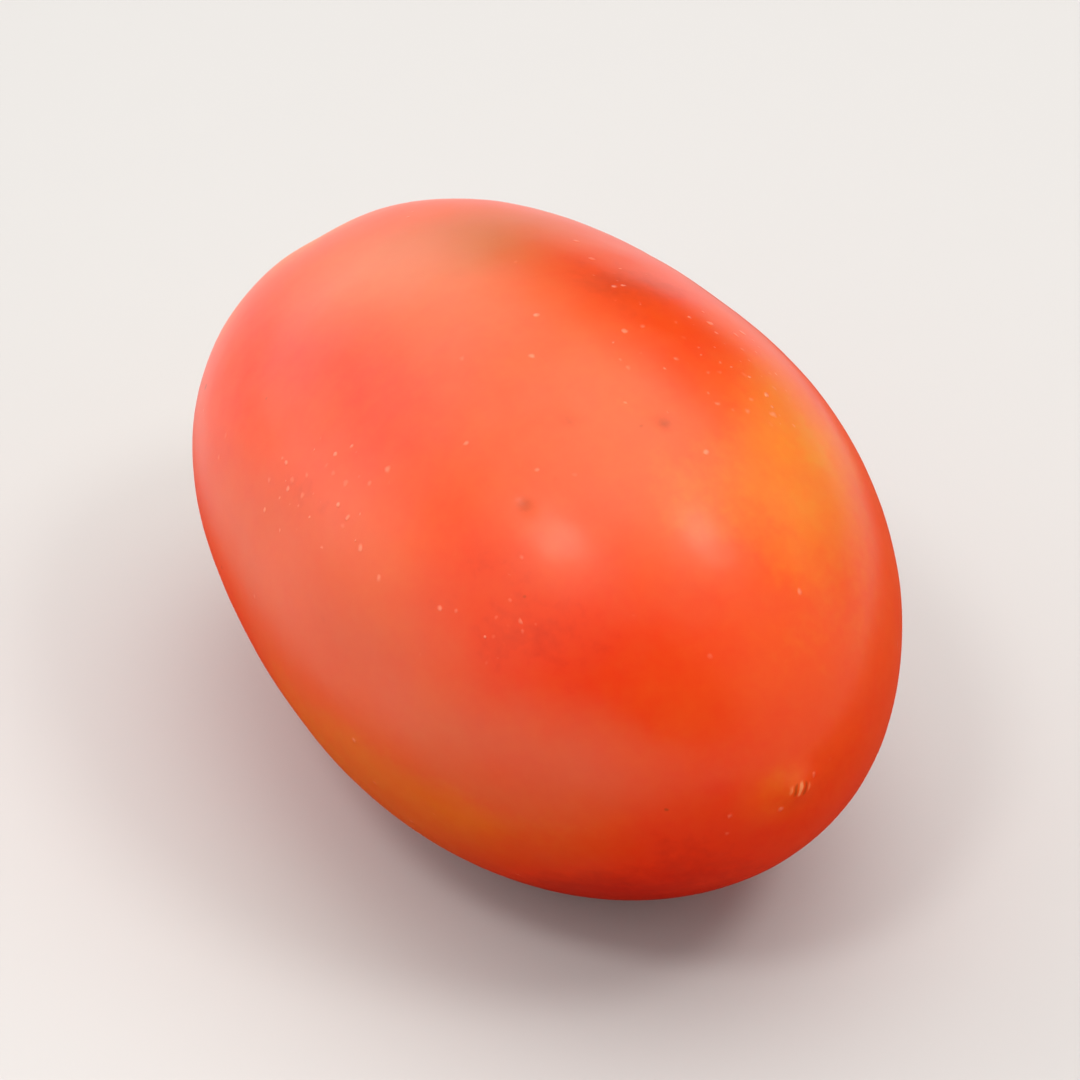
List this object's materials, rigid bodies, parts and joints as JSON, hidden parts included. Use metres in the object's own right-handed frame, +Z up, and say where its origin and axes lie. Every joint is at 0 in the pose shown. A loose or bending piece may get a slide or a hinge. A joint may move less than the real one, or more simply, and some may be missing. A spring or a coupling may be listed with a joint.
{
  "type": "plum tomato",
  "caption": "Ripe elongated tomato lying on its side: blunt lobed shoulders round a shallow stem hollow with a corky scar, tapering to a small blossom tip.",
  "frame": {"origin": "on the surface the fruit rests on, under the middle of its box", "axes": "+Z up; +X along the fruit's length, towards the blossom end, which lies 3.6 degrees higher than the stem end; +Y across it"},
  "size_m": [0.073, 0.049, 0.0487],
  "materials": {
    "skin": null
  },
  "bodies": {
    "root": {"tomato": "skin"}
  },
  "joints": []
}
